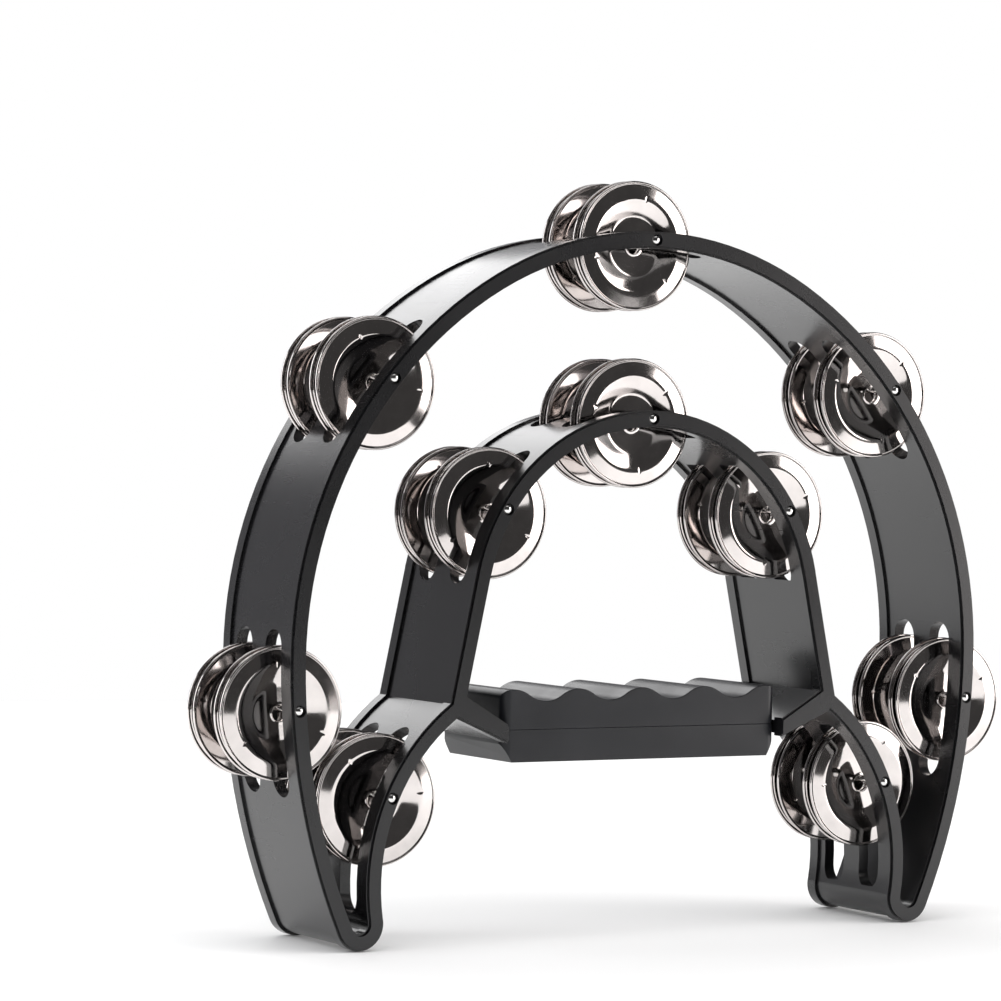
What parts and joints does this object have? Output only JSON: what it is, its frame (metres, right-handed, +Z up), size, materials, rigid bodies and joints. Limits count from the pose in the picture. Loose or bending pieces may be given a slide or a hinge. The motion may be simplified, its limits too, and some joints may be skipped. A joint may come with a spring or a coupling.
{
  "type": "tambourine",
  "caption": "Half-moon tambourine: plastic frame with an arched inner band, ridged hand grip and two rows of paired metal jingles on pins.",
  "frame": {"origin": "under the middle of the object, in the plane its two feet stand on", "axes": "+X across the width to the player's right, +Y from the front rim with the pin heads to the back rim, +Z up from the feet to the crown"},
  "size_m": [0.296, 0.05, 0.246],
  "materials": {
    "frame_plastic": "satin",
    "grip_plastic": "satin",
    "nickel": "polished"
  },
  "bodies": {
    "frame": {"frame": "frame_plastic", "grip_top": "grip_plastic", "grip_base": "grip_plastic", "pin_crown": "nickel", "pin_shoulder_r": "nickel", "pin_shoulder_l": "nickel", "pin_waist_r": "nickel", "pin_waist_l": "nickel", "pin_arch": "nickel", "pin_arm_r": "nickel", "pin_arm_l": "nickel", "pin_leg_r": "nickel", "pin_leg_l": "nickel"},
    "jingle_crown_1": {"jingle_crown_1": "nickel"},
    "jingle_crown_2": {"jingle_crown_2": "nickel"},
    "jingle_crown_3": {"jingle_crown_3": "nickel"},
    "jingle_crown_4": {"jingle_crown_4": "nickel"},
    "jingle_shoulder_r_1": {"jingle_shoulder_r_1": "nickel"},
    "jingle_shoulder_r_2": {"jingle_shoulder_r_2": "nickel"},
    "jingle_shoulder_r_3": {"jingle_shoulder_r_3": "nickel"},
    "jingle_shoulder_r_4": {"jingle_shoulder_r_4": "nickel"},
    "jingle_shoulder_l_1": {"jingle_shoulder_l_1": "nickel"},
    "jingle_shoulder_l_2": {"jingle_shoulder_l_2": "nickel"},
    "jingle_shoulder_l_3": {"jingle_shoulder_l_3": "nickel"},
    "jingle_shoulder_l_4": {"jingle_shoulder_l_4": "nickel"},
    "jingle_waist_r_1": {"jingle_waist_r_1": "nickel"},
    "jingle_waist_r_2": {"jingle_waist_r_2": "nickel"},
    "jingle_waist_r_3": {"jingle_waist_r_3": "nickel"},
    "jingle_waist_r_4": {"jingle_waist_r_4": "nickel"},
    "jingle_waist_l_1": {"jingle_waist_l_1": "nickel"},
    "jingle_waist_l_2": {"jingle_waist_l_2": "nickel"},
    "jingle_waist_l_3": {"jingle_waist_l_3": "nickel"},
    "jingle_waist_l_4": {"jingle_waist_l_4": "nickel"},
    "jingle_arch_1": {"jingle_arch_1": "nickel"},
    "jingle_arch_2": {"jingle_arch_2": "nickel"},
    "jingle_arch_3": {"jingle_arch_3": "nickel"},
    "jingle_arch_4": {"jingle_arch_4": "nickel"},
    "jingle_arm_r_1": {"jingle_arm_r_1": "nickel"},
    "jingle_arm_r_2": {"jingle_arm_r_2": "nickel"},
    "jingle_arm_r_3": {"jingle_arm_r_3": "nickel"},
    "jingle_arm_r_4": {"jingle_arm_r_4": "nickel"},
    "jingle_arm_l_1": {"jingle_arm_l_1": "nickel"},
    "jingle_arm_l_2": {"jingle_arm_l_2": "nickel"},
    "jingle_arm_l_3": {"jingle_arm_l_3": "nickel"},
    "jingle_arm_l_4": {"jingle_arm_l_4": "nickel"},
    "jingle_leg_r_1": {"jingle_leg_r_1": "nickel"},
    "jingle_leg_r_2": {"jingle_leg_r_2": "nickel"},
    "jingle_leg_r_3": {"jingle_leg_r_3": "nickel"},
    "jingle_leg_r_4": {"jingle_leg_r_4": "nickel"},
    "jingle_leg_l_1": {"jingle_leg_l_1": "nickel"},
    "jingle_leg_l_2": {"jingle_leg_l_2": "nickel"},
    "jingle_leg_l_3": {"jingle_leg_l_3": "nickel"},
    "jingle_leg_l_4": {"jingle_leg_l_4": "nickel"}
  },
  "joints": [
    {"name": "slide_crown_1", "type": "slide", "parent": "frame", "child": "jingle_crown_1", "axis": [0, 1, 0], "range_m": [-0.0039, 0.00045]},
    {"name": "slide_crown_2", "type": "slide", "parent": "frame", "child": "jingle_crown_2", "axis": [0, 1, 0], "range_m": [-0.00045, 0.0011]},
    {"name": "slide_crown_3", "type": "slide", "parent": "frame", "child": "jingle_crown_3", "axis": [0, 1, 0], "range_m": [-0.0031, 0.00045]},
    {"name": "slide_crown_4", "type": "slide", "parent": "frame", "child": "jingle_crown_4", "axis": [0, 1, 0], "range_m": [-0.00045, 0.0019]},
    {"name": "slide_shoulder_r_1", "type": "slide", "parent": "frame", "child": "jingle_shoulder_r_1", "axis": [0, 1, 0], "range_m": [-0.0038, 0.00045]},
    {"name": "slide_shoulder_r_2", "type": "slide", "parent": "frame", "child": "jingle_shoulder_r_2", "axis": [0, 1, 0], "range_m": [-0.00045, 0.0012]},
    {"name": "slide_shoulder_r_3", "type": "slide", "parent": "frame", "child": "jingle_shoulder_r_3", "axis": [0, 1, 0], "range_m": [-0.0027, 0.00045]},
    {"name": "slide_shoulder_r_4", "type": "slide", "parent": "frame", "child": "jingle_shoulder_r_4", "axis": [0, 1, 0], "range_m": [-0.00045, 0.0023]},
    {"name": "slide_shoulder_l_1", "type": "slide", "parent": "frame", "child": "jingle_shoulder_l_1", "axis": [0, 1, 0], "range_m": [-0.0035, 0.00045]},
    {"name": "slide_shoulder_l_2", "type": "slide", "parent": "frame", "child": "jingle_shoulder_l_2", "axis": [0, 1, 0], "range_m": [-0.00045, 0.0015]},
    {"name": "slide_shoulder_l_3", "type": "slide", "parent": "frame", "child": "jingle_shoulder_l_3", "axis": [0, 1, 0], "range_m": [-0.003, 0.00045]},
    {"name": "slide_shoulder_l_4", "type": "slide", "parent": "frame", "child": "jingle_shoulder_l_4", "axis": [0, 1, 0], "range_m": [-0.00045, 0.002]},
    {"name": "slide_waist_r_1", "type": "slide", "parent": "frame", "child": "jingle_waist_r_1", "axis": [0, 1, 0], "range_m": [-0.0015, 0.00045]},
    {"name": "slide_waist_r_2", "type": "slide", "parent": "frame", "child": "jingle_waist_r_2", "axis": [0, 1, 0], "range_m": [-0.00045, 0.0035]},
    {"name": "slide_waist_r_3", "type": "slide", "parent": "frame", "child": "jingle_waist_r_3", "axis": [0, 1, 0], "range_m": [-0.0028, 0.00045]},
    {"name": "slide_waist_r_4", "type": "slide", "parent": "frame", "child": "jingle_waist_r_4", "axis": [0, 1, 0], "range_m": [-0.00045, 0.0022]},
    {"name": "slide_waist_l_1", "type": "slide", "parent": "frame", "child": "jingle_waist_l_1", "axis": [0, 1, 0], "range_m": [-0.0033, 0.00045]},
    {"name": "slide_waist_l_2", "type": "slide", "parent": "frame", "child": "jingle_waist_l_2", "axis": [0, 1, 0], "range_m": [-0.00045, 0.0017]},
    {"name": "slide_waist_l_3", "type": "slide", "parent": "frame", "child": "jingle_waist_l_3", "axis": [0, 1, 0], "range_m": [-0.0021, 0.00045]},
    {"name": "slide_waist_l_4", "type": "slide", "parent": "frame", "child": "jingle_waist_l_4", "axis": [0, 1, 0], "range_m": [-0.00045, 0.0029]},
    {"name": "slide_arch_1", "type": "slide", "parent": "frame", "child": "jingle_arch_1", "axis": [0, 1, 0], "range_m": [-0.0035, 0.00045]},
    {"name": "slide_arch_2", "type": "slide", "parent": "frame", "child": "jingle_arch_2", "axis": [0, 1, 0], "range_m": [-0.00045, 0.0015]},
    {"name": "slide_arch_3", "type": "slide", "parent": "frame", "child": "jingle_arch_3", "axis": [0, 1, 0], "range_m": [-0.0029, 0.00045]},
    {"name": "slide_arch_4", "type": "slide", "parent": "frame", "child": "jingle_arch_4", "axis": [0, 1, 0], "range_m": [-0.00045, 0.0021]},
    {"name": "slide_arm_r_1", "type": "slide", "parent": "frame", "child": "jingle_arm_r_1", "axis": [0, 1, 0], "range_m": [-0.0031, 0.00045]},
    {"name": "slide_arm_r_2", "type": "slide", "parent": "frame", "child": "jingle_arm_r_2", "axis": [0, 1, 0], "range_m": [-0.00045, 0.0019]},
    {"name": "slide_arm_r_3", "type": "slide", "parent": "frame", "child": "jingle_arm_r_3", "axis": [0, 1, 0], "range_m": [-0.0022, 0.00045]},
    {"name": "slide_arm_r_4", "type": "slide", "parent": "frame", "child": "jingle_arm_r_4", "axis": [0, 1, 0], "range_m": [-0.00045, 0.0028]},
    {"name": "slide_arm_l_1", "type": "slide", "parent": "frame", "child": "jingle_arm_l_1", "axis": [0, 1, 0], "range_m": [-0.003, 0.00045]},
    {"name": "slide_arm_l_2", "type": "slide", "parent": "frame", "child": "jingle_arm_l_2", "axis": [0, 1, 0], "range_m": [-0.00045, 0.002]},
    {"name": "slide_arm_l_3", "type": "slide", "parent": "frame", "child": "jingle_arm_l_3", "axis": [0, 1, 0], "range_m": [-0.0027, 0.00045]},
    {"name": "slide_arm_l_4", "type": "slide", "parent": "frame", "child": "jingle_arm_l_4", "axis": [0, 1, 0], "range_m": [-0.00045, 0.0023]},
    {"name": "slide_leg_r_1", "type": "slide", "parent": "frame", "child": "jingle_leg_r_1", "axis": [0, 1, 0], "range_m": [-0.0037, 0.00045]},
    {"name": "slide_leg_r_2", "type": "slide", "parent": "frame", "child": "jingle_leg_r_2", "axis": [0, 1, 0], "range_m": [-0.00045, 0.0013]},
    {"name": "slide_leg_r_3", "type": "slide", "parent": "frame", "child": "jingle_leg_r_3", "axis": [0, 1, 0], "range_m": [-0.003, 0.00045]},
    {"name": "slide_leg_r_4", "type": "slide", "parent": "frame", "child": "jingle_leg_r_4", "axis": [0, 1, 0], "range_m": [-0.00045, 0.002]},
    {"name": "slide_leg_l_1", "type": "slide", "parent": "frame", "child": "jingle_leg_l_1", "axis": [0, 1, 0], "range_m": [-0.0015, 0.00045]},
    {"name": "slide_leg_l_2", "type": "slide", "parent": "frame", "child": "jingle_leg_l_2", "axis": [0, 1, 0], "range_m": [-0.00045, 0.0035]},
    {"name": "slide_leg_l_3", "type": "slide", "parent": "frame", "child": "jingle_leg_l_3", "axis": [0, 1, 0], "range_m": [-0.0019, 0.00045]},
    {"name": "slide_leg_l_4", "type": "slide", "parent": "frame", "child": "jingle_leg_l_4", "axis": [0, 1, 0], "range_m": [-0.00045, 0.0031]}
  ]
}
